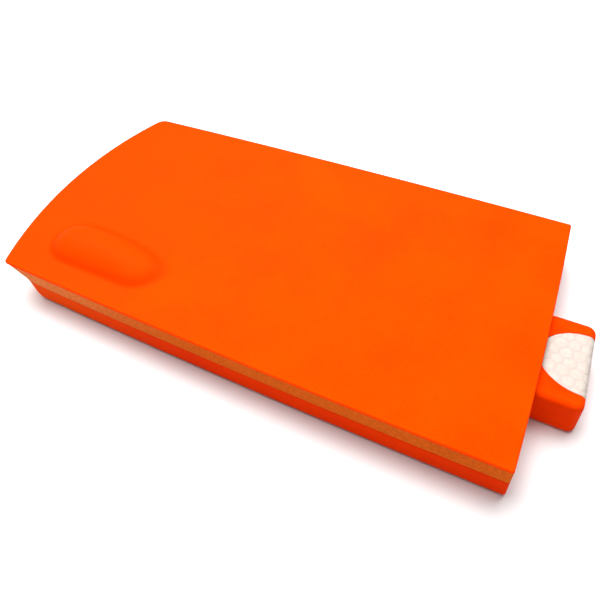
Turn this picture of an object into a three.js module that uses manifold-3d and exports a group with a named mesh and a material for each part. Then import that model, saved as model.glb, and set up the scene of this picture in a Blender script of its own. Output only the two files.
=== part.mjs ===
// Hand sanding block with a pull-out detail nose.
//
// A thin orange deck is bonded to a tan fibreboard core, and the core is screwed down on an
// orange moulded base. A narrow nose slides out of a channel in the right-hand end, so that
// its own small sole reaches into corners. Block and nose each carry a cushion and a hook
// facing, on which abrasive sheets are pressed.
//
// Millimetres. +X runs along the length towards the nose, +Y from the front side to the
// back, +Z up. While it is being modelled the block has its front left corner at X = 0 and
// Y = 0; the exported group then shifts it, so that the origin is under the middle of the
// whole object, on the surface that it stands on.

import * as THREE from "three";
import Module from "manifold-3d";
import { mergeVertices } from "three/addons/utils/BufferGeometryUtils.js";

const wasm = await Module();
wasm.setup();

// ---------------------------------------------------------------- driving dimensions

const BLOCK_LENGTH = 212;
const BLOCK_WIDTH = 115.2;
const BLOCK_HEIGHT = 20.4;

const END_BULGE = 10.8; // how far the left end curves outwards in plan
const SIDE_BOW = 1.2; // the same for the front and back sides
const MOUTH_BOW = 0.8; // the same for the right-hand end
const FAR_CORNER_RADIUS = 5.5;
const NEAR_CORNER_RADIUS = 2.2;
const MOUTH_CORNER_RADIUS = 0.8;
const END_LEAN = 2.2; // how far the right-hand end stands out at its foot

const JOINT_GAP = 0.3; // between any two pieces that touch on the real block
const SKIN_THICKNESS = 1.3;
const SKIN_EDGE_ROUND = 0.45;
const CORE_BOTTOM = 11.3;
const CORE_INSET = 0.15;
const UNDERCUT_REACH = 8.4; // the core's bevel under the left end, measured inwards
const UNDERCUT_FOOT = 12.6; // height at which that bevel ends

const BASE_BOTTOM = 0.6; // the facing stands this far proud of the base's rim
const BASE_EDGE_ROUND = 1.2;
const BASE_END_SETBACK = 8.6;
const HEEL_ROUND = 4.8; // radius of the base's lower edge under the left end
const SOLE_SETBACK = 12.6;
const SOLE_RIM = 3.0; // width of the rim around the sole's recess
const SOLE_CEILING = 4.0;
const FACING_THICKNESS = 1.4;
const CUSHION_THICKNESS = 2.0;

const RIDGE_LEFT = 11;
const RIDGE_RIGHT = 68;
const RIDGE_MIDDLE_Y = 21.5;
const RIDGE_HALF_WIDTH = 11.5;
const RIDGE_HEAD = 13; // length of the round left end
const RIDGE_NEAR_TAIL = 12.7; // how far from the right end the near side starts to curve in
const RIDGE_FAR_TAIL = 37.2;
const RIDGE_HEIGHT = 5.2;

const NOSE_REACH = 16.7; // how far the nose stands out when it is pushed home
const NOSE_LENGTH = 150;
const NOSE_WIDTH = 36.8;
const NOSE_TOP = 17.0;
const NOSE_MIDDLE_Y = 49.5;
const NOSE_CORNER_RADIUS = 3.2;
const NOSE_EDGE_ROUND = 2.4;
const NOSE_FOOT_ROUND = 1.0;
const NOSE_LEAN = 2.2; // how far the nose's end stands out at its foot
const NOSE_RIM = 2.4;
const NOSE_TRAVEL = 70;
const NOSE_CLEARANCE = 0.4;

const FLANGE_LENGTH = 50;
const FLANGE_REACH = 3.0;
const FLANGE_BOTTOM = 7.3;
const FLANGE_TOP = 9.0;
const LEDGE_TOP = 6.0;

const INLAY_HALF_WIDTH = 12.9;
const INLAY_REACH = 16;
const INLAY_FLOOR = 13.5;

const BUMPER_LENGTH = 3.0;
const PAD_LENGTH = 40;

const SCREW_SHANK_RADIUS = 1.75;
const SCREW_HEAD_RADIUS = 3.5;
const SCREW_TIP_Z = 16.7;
const SCREW_XS = [30, 112, 196];
const SCREW_EDGE_DISTANCE = 14;

const ARC_STEPS = 24;
const CORNER_STEPS = 5;
const RIDGE_STEPS = 14;
const CIRCLE_STEPS = 24;

// ---------------------------------------------------------------- worked-out dimensions

const SKIN_BOTTOM = BLOCK_HEIGHT - SKIN_THICKNESS;
const CORE_TOP = SKIN_BOTTOM - JOINT_GAP;
const BASE_TOP = CORE_BOTTOM - JOINT_GAP;
const CUSHION_BOTTOM = SOLE_CEILING - JOINT_GAP - CUSHION_THICKNESS;

const NOSE_END = BLOCK_LENGTH + NOSE_REACH;
const NOSE_START = NOSE_END - NOSE_LENGTH;
const CHANNEL_START = NOSE_START - JOINT_GAP - BUMPER_LENGTH;
const CHANNEL_STOP = NOSE_START + FLANGE_LENGTH + NOSE_TRAVEL + JOINT_GAP;
const CHANNEL_HALF = NOSE_WIDTH / 2 + NOSE_CLEARANCE;
const POCKET_HALF = CHANNEL_HALF + FLANGE_REACH;
const WELL_PAST = 30; // cutters run this far beyond the faces that they break through

// ---------------------------------------------------------------- solids

/** Turns a three.js geometry into a solid that can be joined and cut. */
function toSolid(geometry) {
  const bare = geometry.clone();
  bare.deleteAttribute("normal");
  bare.deleteAttribute("uv");
  const merged = mergeVertices(bare, 1e-4);
  const vertProperties = new Float32Array(merged.attributes.position.array);
  const triVerts = new Uint32Array(merged.index.array);
  return new wasm.Manifold(new wasm.Mesh({ numProp: 3, vertProperties, triVerts }));
}

/** Turns a solid back into a three.js geometry. */
function toGeometry(solid) {
  const mesh = solid.getMesh();
  const geometry = new THREE.BufferGeometry();
  const positions = new THREE.BufferAttribute(new Float32Array(mesh.vertProperties), 3);
  geometry.setAttribute("position", positions);
  geometry.setIndex(new THREE.BufferAttribute(new Uint32Array(mesh.triVerts), 1));
  geometry.computeVertexNormals();
  return geometry;
}

/** Closes a stack of outlines, each {points, z} or {points, heights}, into one solid. */
function loft(rings) {
  const count = rings[0].points.length;
  const positions = [];
  for (const ring of rings) {
    ring.points.forEach((point, index) => {
      positions.push(point.x, point.y, ring.heights ? ring.heights[index] : ring.z);
    });
  }
  const triangles = [];
  for (let level = 0; level + 1 < rings.length; level += 1) {
    for (let index = 0; index < count; index += 1) {
      const next = (index + 1) % count;
      const low = level * count;
      const high = low + count;
      triangles.push(low + index, low + next, high + next);
      triangles.push(low + index, high + next, high + index);
    }
  }
  const lastRing = (rings.length - 1) * count;
  for (const [a, b, c] of THREE.ShapeUtils.triangulateShape(rings[0].points, [])) {
    triangles.push(a, c, b);
  }
  for (const [a, b, c] of THREE.ShapeUtils.triangulateShape(rings.at(-1).points, [])) {
    triangles.push(lastRing + a, lastRing + b, lastRing + c);
  }
  const geometry = new THREE.BufferGeometry();
  geometry.setAttribute("position", new THREE.Float32BufferAttribute(positions, 3));
  geometry.setIndex(triangles);
  return toSolid(geometry);
}

/** A straight-walled solid over one outline. */
function slab(points, bottom, top) {
  return loft([
    { points, z: bottom },
    { points, z: top },
  ]);
}

/** A box given by its two corners. */
function box(x0, x1, y0, y1, z0, z1) {
  const geometry = new THREE.BoxGeometry(x1 - x0, y1 - y0, z1 - z0);
  geometry.translate((x0 + x1) / 2, (y0 + y1) / 2, (z0 + z1) / 2);
  return toSolid(geometry);
}

// ---------------------------------------------------------------- outlines

/** Points from one corner to the next along an arc that bulges to the right by sagitta. */
function bowedEdge(start, end, sagitta, steps) {
  const along = new THREE.Vector2().subVectors(end, start);
  const outward = new THREE.Vector2(along.y, -along.x).normalize();
  const half = along.length() / 2;
  const radius = (half * half + sagitta * sagitta) / (2 * sagitta);
  const points = [];
  for (let step = 0; step <= steps; step += 1) {
    const share = step / steps;
    const off = (share * 2 - 1) * half;
    const rise = Math.sqrt(radius * radius - off * off) - (radius - sagitta);
    points.push(start.clone().addScaledVector(along, share).addScaledVector(outward, rise));
  }
  return points;
}

/** Replaces the corner between two edges with an arc of about the given radius. */
function roundedCorner(before, after, radius) {
  const corner = before.at(-1);
  const back = new THREE.Vector2().subVectors(before.at(-2), corner).normalize();
  const ahead = new THREE.Vector2().subVectors(after[1], corner).normalize();
  const halfAngle = Math.acos(THREE.MathUtils.clamp(back.dot(ahead), -1, 1)) / 2;
  const reach = radius / Math.tan(halfAngle);
  const trim = (edge) => edge.filter((point) => point.distanceTo(corner) > reach * 1.05);
  const start = corner.clone().addScaledVector(back, reach);
  const end = corner.clone().addScaledVector(ahead, reach);
  const curve = new THREE.QuadraticBezierCurve(start, corner.clone(), end);
  return { before: trim(before), arc: curve.getPoints(CORNER_STEPS), after: trim(after) };
}

/** How far an end that leans out by lean at its foot stands out at height z. */
function leanAt(z, lean, top, foot) {
  return (lean * (top - z)) / (top - foot);
}

/** How far the block's right-hand end stands out at height z. */
function endLean(z) {
  return leanAt(z, END_LEAN, BLOCK_HEIGHT, BASE_BOTTOM + BASE_EDGE_ROUND);
}

/** The block's plan, counter-clockwise, with its left end set back and its right end moved out. */
function blockOutline(inset, setback = 0, lean = 0) {
  const x0 = inset + setback;
  const x1 = BLOCK_LENGTH - inset + lean;
  const y0 = inset;
  const y1 = BLOCK_WIDTH - inset;
  const frontLeft = new THREE.Vector2(x0, y0);
  const frontRight = new THREE.Vector2(x1, y0);
  const backRight = new THREE.Vector2(x1, y1);
  const backLeft = new THREE.Vector2(x0, y1);
  const edges = [
    bowedEdge(frontLeft, frontRight, SIDE_BOW, ARC_STEPS),
    bowedEdge(frontRight, backRight, MOUTH_BOW, ARC_STEPS),
    bowedEdge(backRight, backLeft, SIDE_BOW, ARC_STEPS),
    bowedEdge(backLeft, frontLeft, END_BULGE, ARC_STEPS),
  ];
  const radii = [
    MOUTH_CORNER_RADIUS,
    MOUTH_CORNER_RADIUS,
    FAR_CORNER_RADIUS,
    NEAR_CORNER_RADIUS,
  ];
  const arcs = [];
  for (let side = 0; side < edges.length; side += 1) {
    const next = (side + 1) % edges.length;
    const rounded = roundedCorner(edges[side], edges[next], radii[side]);
    edges[side] = rounded.before;
    edges[next] = rounded.after;
    arcs.push(rounded.arc);
  }
  return edges.flatMap((edge, side) => [...edge, ...arcs[side]]);
}

/** The nose's plan, counter-clockwise, with its two outer corners rounded. */
function noseOutline(inset, lean = 0) {
  const shape = new THREE.Shape();
  const x0 = NOSE_START + inset;
  const x1 = NOSE_END - inset + lean;
  const y0 = NOSE_MIDDLE_Y - NOSE_WIDTH / 2 + inset;
  const y1 = NOSE_MIDDLE_Y + NOSE_WIDTH / 2 - inset;
  const radius = Math.max(NOSE_CORNER_RADIUS - inset, 0.6);
  shape.moveTo(x0, y0);
  shape.lineTo(x1 - radius, y0);
  shape.absarc(x1 - radius, y0 + radius, radius, -Math.PI / 2, 0, false);
  shape.absarc(x1 - radius, y1 - radius, radius, 0, Math.PI / 2, false);
  shape.lineTo(x0, y1);
  shape.closePath();
  return outlinePoints(shape, CORNER_STEPS);
}

/** The grip inlay's plan: half an ellipse, run out straight past the nose's end. */
function inlayOutline(inset) {
  const shape = new THREE.Shape();
  const x0 = NOSE_END - 1.5;
  const reachX = INLAY_REACH - inset;
  const reachY = INLAY_HALF_WIDTH - inset;
  shape.moveTo(NOSE_END + WELL_PAST, NOSE_MIDDLE_Y - reachY);
  shape.lineTo(NOSE_END + WELL_PAST, NOSE_MIDDLE_Y + reachY);
  shape.absellipse(x0, NOSE_MIDDLE_Y, reachX, reachY, Math.PI / 2, (Math.PI * 3) / 2, false, 0);
  shape.closePath();
  return outlinePoints(shape, CIRCLE_STEPS);
}

/** A shape's points without the repeated last one. */
function outlinePoints(shape, divisions) {
  const points = shape.getPoints(divisions);
  const distinct = points.filter((point, index) => {
    const next = points[(index + 1) % points.length];
    return point.distanceTo(next) > 1e-4;
  });
  return THREE.ShapeUtils.isClockWise(distinct) ? distinct.reverse() : distinct;
}

// ---------------------------------------------------------------- the deck

/** Height of a dome with a circular section, where the foot is at share 1 of its reach. */
function domeHeight(share) {
  const radius = (RIDGE_HALF_WIDTH ** 2 + RIDGE_HEIGHT ** 2) / (2 * RIDGE_HEIGHT);
  const off = RIDGE_HALF_WIDTH * share;
  return Math.sqrt(radius * radius - off * off) - (radius - RIDGE_HEIGHT);
}

/** One contour of the thumb ridge, at a share of the way from its spine to its foot. */
function ridgeContour(share) {
  const points = [];
  for (let step = 0; step <= RIDGE_STEPS; step += 1) {
    const angle = (step / RIDGE_STEPS - 0.5) * Math.PI;
    const across = Math.sin(angle) * share;
    const farness = THREE.MathUtils.smoothstep(across, -1, 1);
    const tail = THREE.MathUtils.lerp(RIDGE_NEAR_TAIL, RIDGE_FAR_TAIL, farness);
    const x = RIDGE_RIGHT - tail + Math.cos(angle) * share * tail;
    points.push(new THREE.Vector2(x, RIDGE_MIDDLE_Y + across * RIDGE_HALF_WIDTH));
  }
  for (let step = 0; step <= RIDGE_STEPS; step += 1) {
    const angle = (step / RIDGE_STEPS + 0.5) * Math.PI;
    const x = RIDGE_LEFT + RIDGE_HEAD + Math.cos(angle) * share * RIDGE_HEAD;
    const y = RIDGE_MIDDLE_Y + Math.sin(angle) * share * RIDGE_HALF_WIDTH;
    points.push(new THREE.Vector2(x, y));
  }
  return points;
}

/** The thumb ridge: a domed pill, round at its left end and drawn out at its far right. */
function ridgeSolid() {
  const shares = [1, 0.93, 0.84, 0.74, 0.63, 0.52, 0.41, 0.3, 0.18, 0.08];
  const embedded = BLOCK_HEIGHT - SKIN_THICKNESS / 2;
  const rings = shares.map((share) => {
    return { points: ridgeContour(share), z: BLOCK_HEIGHT - 0.05 + domeHeight(share) };
  });
  return loft([{ points: rings[0].points, z: embedded }, ...rings]);
}

function deckSkin() {
  const round = SKIN_EDGE_ROUND;
  const plate = loft([
    { points: blockOutline(0.1), z: SKIN_BOTTOM },
    { points: blockOutline(0), z: SKIN_BOTTOM + 0.1 },
    { points: blockOutline(0), z: BLOCK_HEIGHT - round },
    { points: blockOutline(round * 0.3), z: BLOCK_HEIGHT - round * 0.3 },
    { points: blockOutline(round), z: BLOCK_HEIGHT },
  ]);
  return plate.add(ridgeSolid());
}

// ---------------------------------------------------------------- core and base

/** Room for the nose: full height at the mouth, wider where its flanges run. */
function noseRoom(bottom, top, half, start, end) {
  return box(start, end, NOSE_MIDDLE_Y - half, NOSE_MIDDLE_Y + half, bottom, top);
}

function screwPlaces() {
  return SCREW_XS.flatMap((x) => [
    [x, SCREW_EDGE_DISTANCE],
    [x, BLOCK_WIDTH - SCREW_EDGE_DISTANCE],
  ]);
}

/** A countersunk screw's solid, grown all round when it is used as a cutter. */
function screwBody(x, y, grow) {
  const shank = SCREW_SHANK_RADIUS + grow;
  const head = SCREW_HEAD_RADIUS + grow;
  const headBottom = SOLE_CEILING + (grow > 0 ? -1 : 0.2);
  const tip = SCREW_TIP_Z + grow;
  const profile = [
    new THREE.Vector2(0, headBottom),
    new THREE.Vector2(head, headBottom),
    new THREE.Vector2(head, SOLE_CEILING + 0.5),
    new THREE.Vector2(shank, SOLE_CEILING + 2.2),
    new THREE.Vector2(shank, tip - shank),
    new THREE.Vector2(0, tip),
  ];
  const geometry = new THREE.LatheGeometry(profile, CIRCLE_STEPS);
  geometry.rotateX(Math.PI / 2); // the lathe's own axis is Y
  geometry.translate(x, y, 0);
  return toSolid(geometry);
}

function coreBoard() {
  const level = (z, setback) => ({ points: blockOutline(CORE_INSET, setback, endLean(z)), z });
  const board = loft([
    level(CORE_BOTTOM, UNDERCUT_REACH),
    level(UNDERCUT_FOOT, UNDERCUT_REACH),
    level(CORE_TOP, 0.5),
  ]);
  const roomTop = NOSE_TOP + JOINT_GAP;
  const mouth = BLOCK_LENGTH + WELL_PAST;
  let solid = board.subtract(noseRoom(0, roomTop, CHANNEL_HALF, CHANNEL_START, mouth));
  for (const [x, y] of screwPlaces()) {
    solid = solid.subtract(screwBody(x, y, JOINT_GAP));
  }
  return solid;
}

/** How far a rounded lower edge pulls its wall in at a height above the bottom. */
function roundPull(height, radius) {
  const left = Math.max(radius - height, 0);
  return radius - Math.sqrt(radius * radius - left * left);
}

/** The sole's recess or what fills it: the block's plan less the nose's channel. */
function soleSolid(bottom, top, rim, half, start) {
  const plan = slab(blockOutline(rim, SOLE_SETBACK), bottom, top);
  return plan.subtract(noseRoom(-1, BLOCK_HEIGHT, half, start, NOSE_END + WELL_PAST));
}

function baseBody() {
  const heelReach = HEEL_ROUND - BASE_EDGE_ROUND;
  const heights = [0, 0.36, BASE_EDGE_ROUND, 2.2, heelReach, BASE_TOP - BASE_BOTTOM];
  const casting = loft(
    heights.map((height) => {
      const inset = CORE_INSET + roundPull(height, BASE_EDGE_ROUND);
      const setback = BASE_END_SETBACK + roundPull(height, heelReach);
      const z = BASE_BOTTOM + height;
      return { points: blockOutline(inset, setback, endLean(z)), z };
    }),
  );
  const wall = CHANNEL_HALF + SOLE_RIM;
  const recess = soleSolid(-1, SOLE_CEILING, SOLE_RIM, wall, CHANNEL_START - SOLE_RIM);
  const mouth = BLOCK_LENGTH + WELL_PAST;
  const above = BASE_TOP + 1;
  let solid = casting
    .subtract(recess)
    .subtract(noseRoom(-1, above, CHANNEL_HALF, CHANNEL_START, mouth))
    .subtract(noseRoom(LEDGE_TOP, above, POCKET_HALF, CHANNEL_START, CHANNEL_STOP));
  for (const [x, y] of screwPlaces()) {
    solid = solid.subtract(screwBody(x, y, JOINT_GAP));
  }
  return solid;
}

function blockLayer(bottom, top) {
  const wall = CHANNEL_HALF + SOLE_RIM + JOINT_GAP;
  const start = CHANNEL_START - SOLE_RIM - JOINT_GAP;
  return soleSolid(bottom, top, SOLE_RIM + JOINT_GAP, wall, start);
}

// ---------------------------------------------------------------- the nose

function noseBar() {
  const round = NOSE_EDGE_ROUND;
  const foot = BASE_BOTTOM + NOSE_FOOT_ROUND;
  const level = (z, inset) => {
    const lean = leanAt(z, NOSE_LEAN, NOSE_TOP, foot);
    return { points: noseOutline(inset, lean), z };
  };
  const rings = [level(BASE_BOTTOM, NOSE_FOOT_ROUND), level(foot, 0)];
  for (let step = 0; step <= CORNER_STEPS; step += 1) {
    const angle = ((step / CORNER_STEPS) * Math.PI) / 2;
    const inset = round * (1 - Math.cos(angle));
    rings.push(level(NOSE_TOP - round + round * Math.sin(angle), inset));
  }
  return loft(rings);
}

function inlaySlab(inset, bottom) {
  return slab(inlayOutline(inset), bottom, NOSE_TOP + WELL_PAST);
}

function noseSlide() {
  const reach = NOSE_WIDTH / 2 + FLANGE_REACH;
  const flangeEnd = NOSE_START + FLANGE_LENGTH;
  const flanges = noseRoom(FLANGE_BOTTOM, FLANGE_TOP, reach, NOSE_START, flangeEnd);
  const recess = slab(noseOutline(NOSE_RIM), -1, SOLE_CEILING);
  return noseBar().add(flanges).subtract(recess).subtract(inlaySlab(0, INLAY_FLOOR));
}

function noseGripInlay() {
  return noseBar().intersect(inlaySlab(JOINT_GAP, INLAY_FLOOR + JOINT_GAP));
}

function noseLayer(bottom, top) {
  return slab(noseOutline(NOSE_RIM + JOINT_GAP), bottom, top);
}

// ---------------------------------------------------------------- guides and fasteners

/** A strip beside the nose; side is -1 at the front and +1 at the back. */
function sideStrip(side, start, end, bottom, top) {
  const inner = CHANNEL_HALF + 0.1;
  const outer = POCKET_HALF - JOINT_GAP;
  const y0 = NOSE_MIDDLE_Y + side * (side > 0 ? inner : outer);
  const y1 = NOSE_MIDDLE_Y + side * (side > 0 ? outer : inner);
  return box(start, end, y0, y1, bottom, top);
}

function glideStrip(side) {
  const start = CHANNEL_START + JOINT_GAP;
  const end = CHANNEL_STOP - JOINT_GAP;
  return sideStrip(side, start, end, LEDGE_TOP + JOINT_GAP, FLANGE_BOTTOM - JOINT_GAP);
}

/** Felt that stays over the flange at both ends of the nose's travel. */
function frictionPad(side) {
  const middle = NOSE_START + (FLANGE_LENGTH + NOSE_TRAVEL) / 2;
  const start = middle - PAD_LENGTH / 2;
  return sideStrip(side, start, start + PAD_LENGTH, FLANGE_TOP + JOINT_GAP, BASE_TOP);
}

function stopBumper() {
  const start = CHANNEL_START + JOINT_GAP;
  const end = NOSE_START - JOINT_GAP;
  return noseRoom(LEDGE_TOP - 3, NOSE_TOP - 2, CHANNEL_HALF - JOINT_GAP, start, end);
}

function bodyScrew(x, y) {
  const slot = 0.45;
  const arm = 1.6;
  const top = SOLE_CEILING + 1.2;
  return screwBody(x, y, 0)
    .subtract(box(x - arm, x + arm, y - slot, y + slot, 0, top))
    .subtract(box(x - slot, x + slot, y - arm, y + arm, 0, top));
}

// ---------------------------------------------------------------- finishes

function finish(color, roughness, metalness = 0) {
  return new THREE.MeshStandardMaterial({ color, roughness, metalness });
}

const orangeSkin = finish(0xff5a00, 0.45);
const orangeMoulding = finish(0xe04500, 0.5);
const fibreboard = finish(0xc4703a, 0.9);
const softGrip = finish(0xf6ece2, 0.7);
const foam = finish(0x3c3c40, 0.95);
const hookFabric = finish(0x222226, 1);
const nylon = finish(0xe9e6dc, 0.4);
const felt = finish(0x6d6a66, 1);
const rubber = finish(0x1b1b1c, 0.85);
const zincSteel = finish(0xc9ccd0, 0.35, 1);

// ---------------------------------------------------------------- assembly

const sandingBlock = new THREE.Group();
sandingBlock.position.set(-(NOSE_END + NOSE_LEAN - END_BULGE) / 2, -BLOCK_WIDTH / 2, 0);

function addPiece(name, solid, material) {
  const mesh = new THREE.Mesh(toGeometry(solid), material);
  mesh.name = name;
  sandingBlock.add(mesh);
}

addPiece("deck_skin", deckSkin(), orangeSkin);
addPiece("core_board", coreBoard(), fibreboard);
addPiece("base_body", baseBody(), orangeMoulding);
addPiece("sole_cushion", blockLayer(CUSHION_BOTTOM, SOLE_CEILING - JOINT_GAP), foam);
addPiece("sole_hook_facing", blockLayer(0, FACING_THICKNESS), hookFabric);
addPiece("nose_slide", noseSlide(), orangeMoulding);
addPiece("nose_grip_inlay", noseGripInlay(), softGrip);
addPiece("nose_cushion", noseLayer(CUSHION_BOTTOM, SOLE_CEILING - JOINT_GAP), foam);
addPiece("nose_hook_facing", noseLayer(0, FACING_THICKNESS), hookFabric);
for (const [place, side] of [["front", -1], ["back", 1]]) {
  addPiece(`glide_strip_${place}`, glideStrip(side), nylon);
  addPiece(`friction_pad_${place}`, frictionPad(side), felt);
}
addPiece("stop_bumper", stopBumper(), rubber);
screwPlaces().forEach(([x, y], index) => {
  addPiece(`body_screw_${index + 1}`, bodyScrew(x, y), zincSteel);
});

export default sandingBlock;
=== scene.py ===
"""Looks of a hand sanding block with a pull-out detail nose.

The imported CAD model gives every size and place. This script replaces its plain solids with
finely modelled ones of the same size, gives each a procedural material, and sets them on a
pale floor in soft studio light. All lengths are in metres, in the CAD model's own frame.
"""

from __future__ import annotations

import logging
import math
from dataclasses import dataclass, field, replace
from enum import Enum

import bpy
import numpy as np
from mathutils import Matrix, Vector

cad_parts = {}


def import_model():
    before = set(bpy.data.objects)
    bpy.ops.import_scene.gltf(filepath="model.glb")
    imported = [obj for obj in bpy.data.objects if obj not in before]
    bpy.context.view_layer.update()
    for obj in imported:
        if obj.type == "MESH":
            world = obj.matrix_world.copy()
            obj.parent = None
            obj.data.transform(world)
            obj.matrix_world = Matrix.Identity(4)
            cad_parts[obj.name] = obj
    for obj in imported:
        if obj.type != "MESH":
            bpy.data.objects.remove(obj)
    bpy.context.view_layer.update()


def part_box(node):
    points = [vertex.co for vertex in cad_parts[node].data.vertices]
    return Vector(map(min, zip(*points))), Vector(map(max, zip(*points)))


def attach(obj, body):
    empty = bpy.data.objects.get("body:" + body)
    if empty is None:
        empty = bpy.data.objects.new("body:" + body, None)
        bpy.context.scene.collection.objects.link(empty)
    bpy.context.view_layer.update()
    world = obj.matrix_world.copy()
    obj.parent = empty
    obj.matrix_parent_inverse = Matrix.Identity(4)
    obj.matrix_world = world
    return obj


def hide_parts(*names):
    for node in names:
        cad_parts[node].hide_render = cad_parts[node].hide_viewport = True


log = logging.getLogger("sanding_block")

MM = 0.001
Colour = tuple[float, float, float]
Place = tuple[float, float, float]

# ------------------------------------------------------------------ shared dimensions

END_BULGE = 10.8 * MM  # how far the left end curves outwards in plan
SIDE_BOW = 1.2 * MM
MOUTH_BOW = 0.8 * MM
NEAR_CORNER_RADIUS = 2.2 * MM
FAR_CORNER_RADIUS = 5.5 * MM
MOUTH_CORNER_RADIUS = 0.8 * MM
END_LEAN = 2.2 * MM  # how far the right-hand end stands out at its foot
BASE_EDGE_ROUND = 1.2 * MM
HEEL_ROUND = 4.8 * MM  # radius of the base's lower edge under the left end
SOLE_SETBACK = 12.6 * MM

SKIN_THICKNESS = 1.3 * MM
SKIN_EDGE_ROUND = 0.8 * MM
BOND_GAP = 0.04 * MM  # what is left between two layers that are bonded or screwed together
UNDERCUT_FOOT = 12.6 * MM  # height at which the bevel under the left end stops
SOLE_RIM = 3.0 * MM
SOLE_CEILING = 4.0 * MM
LEDGE_TOP = 6.0 * MM
RUNNING_GAP = 0.4 * MM
FLANGE_REACH = 3.0 * MM
FLANGE_LENGTH = 50.0 * MM
FLANGE_BOTTOM = 7.3 * MM
FLANGE_TOP = 9.0 * MM
CORE_INSET = 0.18 * MM  # how far the core and the base lie inside the skin's outline
BASE_INSET = 0.15 * MM
NOSE_HEADROOM = 0.3 * MM
NOSE_RIM = 2.4 * MM
NOSE_CORNER_RADIUS = 3.2 * MM
NOSE_BACK_RADIUS = 0.6 * MM
NOSE_LEAN = 2.2 * MM
NOSE_FOOT_ROUND = 1.0 * MM
NOSE_EDGE_ROUND = 2.4 * MM

RIDGE_HEIGHT = 5.1 * MM
RIDGE_HALF_WIDTH = 11.4 * MM
RIDGE_MIDDLE = 21.5 * MM  # from the front side
RIDGE_START = 11.0 * MM  # from the front left corner
RIDGE_LENGTH = 57.0 * MM
RIDGE_HEAD = 13.0 * MM  # length of the round left end
RIDGE_NEAR_TAIL = 12.7 * MM  # how far from the right end the near side starts to curve in
RIDGE_FAR_TAIL = 37.2 * MM
RIDGE_OUTSKIRTS = 1.25  # share of its reach at which the ridge has died away
RIDGE_FOOT = 0.35 * MM  # how softly the ridge's foot runs into the deck

CELL_PITCH = 4.4 * MM
CELL_HEIGHT = 0.13 * MM
INLAY_HALF_WIDTH = 12.9 * MM
INLAY_REACH = 16.0 * MM
INLAY_THICKNESS = 1.9 * MM
INLAY_CENTRE = 1.5 * MM  # from the nose's end to the middle of the inlay's ellipse
INLAY_DROP = 0.7 * MM  # how far the inlay runs down the nose's end below its rounded edge
INLAY_LIP = 0.5 * MM
INLAY_LIP_DEPTH = 0.3 * MM
POCKET_DEPTH = 3.2 * MM

LAYER_GAP = 0.3 * MM  # between a sole's layers and the rim round them
GROUND_BOTTOM = 0.65 * MM
GROUND_EDGE = 0.1 * MM
FOAM_EDGE = 0.3 * MM
HOOK_ROOT = 0.7 * MM
HOOK_WIDTH = 0.4 * MM
HOOK_PITCH = 2.5 * MM
HOOK_MARGIN = 0.9 * MM  # from the facing's edge to its outermost hooks

SCREW_SHANK_RADIUS = 1.75 * MM
SCREW_PITCH = 1.35 * MM
SCREW_THREAD_DEPTH = 0.5 * MM
SCREW_HEAD_HEIGHT = 2.6 * MM
SCREW_POINT_LENGTH = 2.6 * MM
CROSS_REACH = 1.7 * MM
CROSS_HALF_WIDTH = 0.42 * MM
CROSS_DEPTH = 1.1 * MM

HAIR = 0.02 * MM  # the least that keeps a piece clear of a box or a neighbour
CUTTER_RUN = 30.0 * MM  # how far a cutter runs past the faces that it breaks through


# ------------------------------------------------------------------ curves and outlines


def crowded_shares(count: int, crowding: float = 0.7) -> np.ndarray:
    """Shares from 0 to 1 that lie closer together towards both ends.

    Args:
        count: How many shares.
        crowding: 0 for even steps, towards 1 for steps that shrink to nothing at the ends.

    Returns:
        An array of shares. It mixes an even ramp with half a cosine wave.
    """
    even = np.linspace(0.0, 1.0, count)
    wave = 0.5 - 0.5 * np.cos(np.pi * even)
    return (1.0 - crowding) * even + crowding * wave


def resampled(points: np.ndarray, shares: np.ndarray) -> np.ndarray:
    """Points at the given shares of a polyline's own length.

    Args:
        points: The polyline, one row per point.
        shares: Shares of its length, from 0 to 1.

    Returns:
        One point for each share.
    """
    steps = np.linalg.norm(np.diff(points, axis=0), axis=1)
    along = np.concatenate([[0.0], np.cumsum(steps)])
    wanted = shares * along[-1]
    return np.stack([np.interp(wanted, along, points[:, axis]) for axis in range(2)], axis=1)


def bowed_edge(start: np.ndarray, end: np.ndarray, bow: float, count: int = 160) -> np.ndarray:
    """A circular arc from start to end that bulges to the right of its direction by bow.

    Args:
        start: Where the arc starts.
        end: Where it ends.
        bow: The arc's height over its chord; 0 gives a straight line.
        count: How many points it has.

    Returns:
        The arc's points in order.
    """
    along = end - start
    length = float(np.linalg.norm(along))
    share = np.linspace(0.0, 1.0, count)
    line = start + share[:, None] * along
    if bow < 1e-9:
        return line
    outward = np.array([along[1], -along[0]]) / length
    half = length / 2.0
    radius = (half * half + bow * bow) / (2.0 * bow)
    off = (share * 2.0 - 1.0) * half
    rise = np.sqrt(radius * radius - off * off) - (radius - bow)
    return line + rise[:, None] * outward


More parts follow.
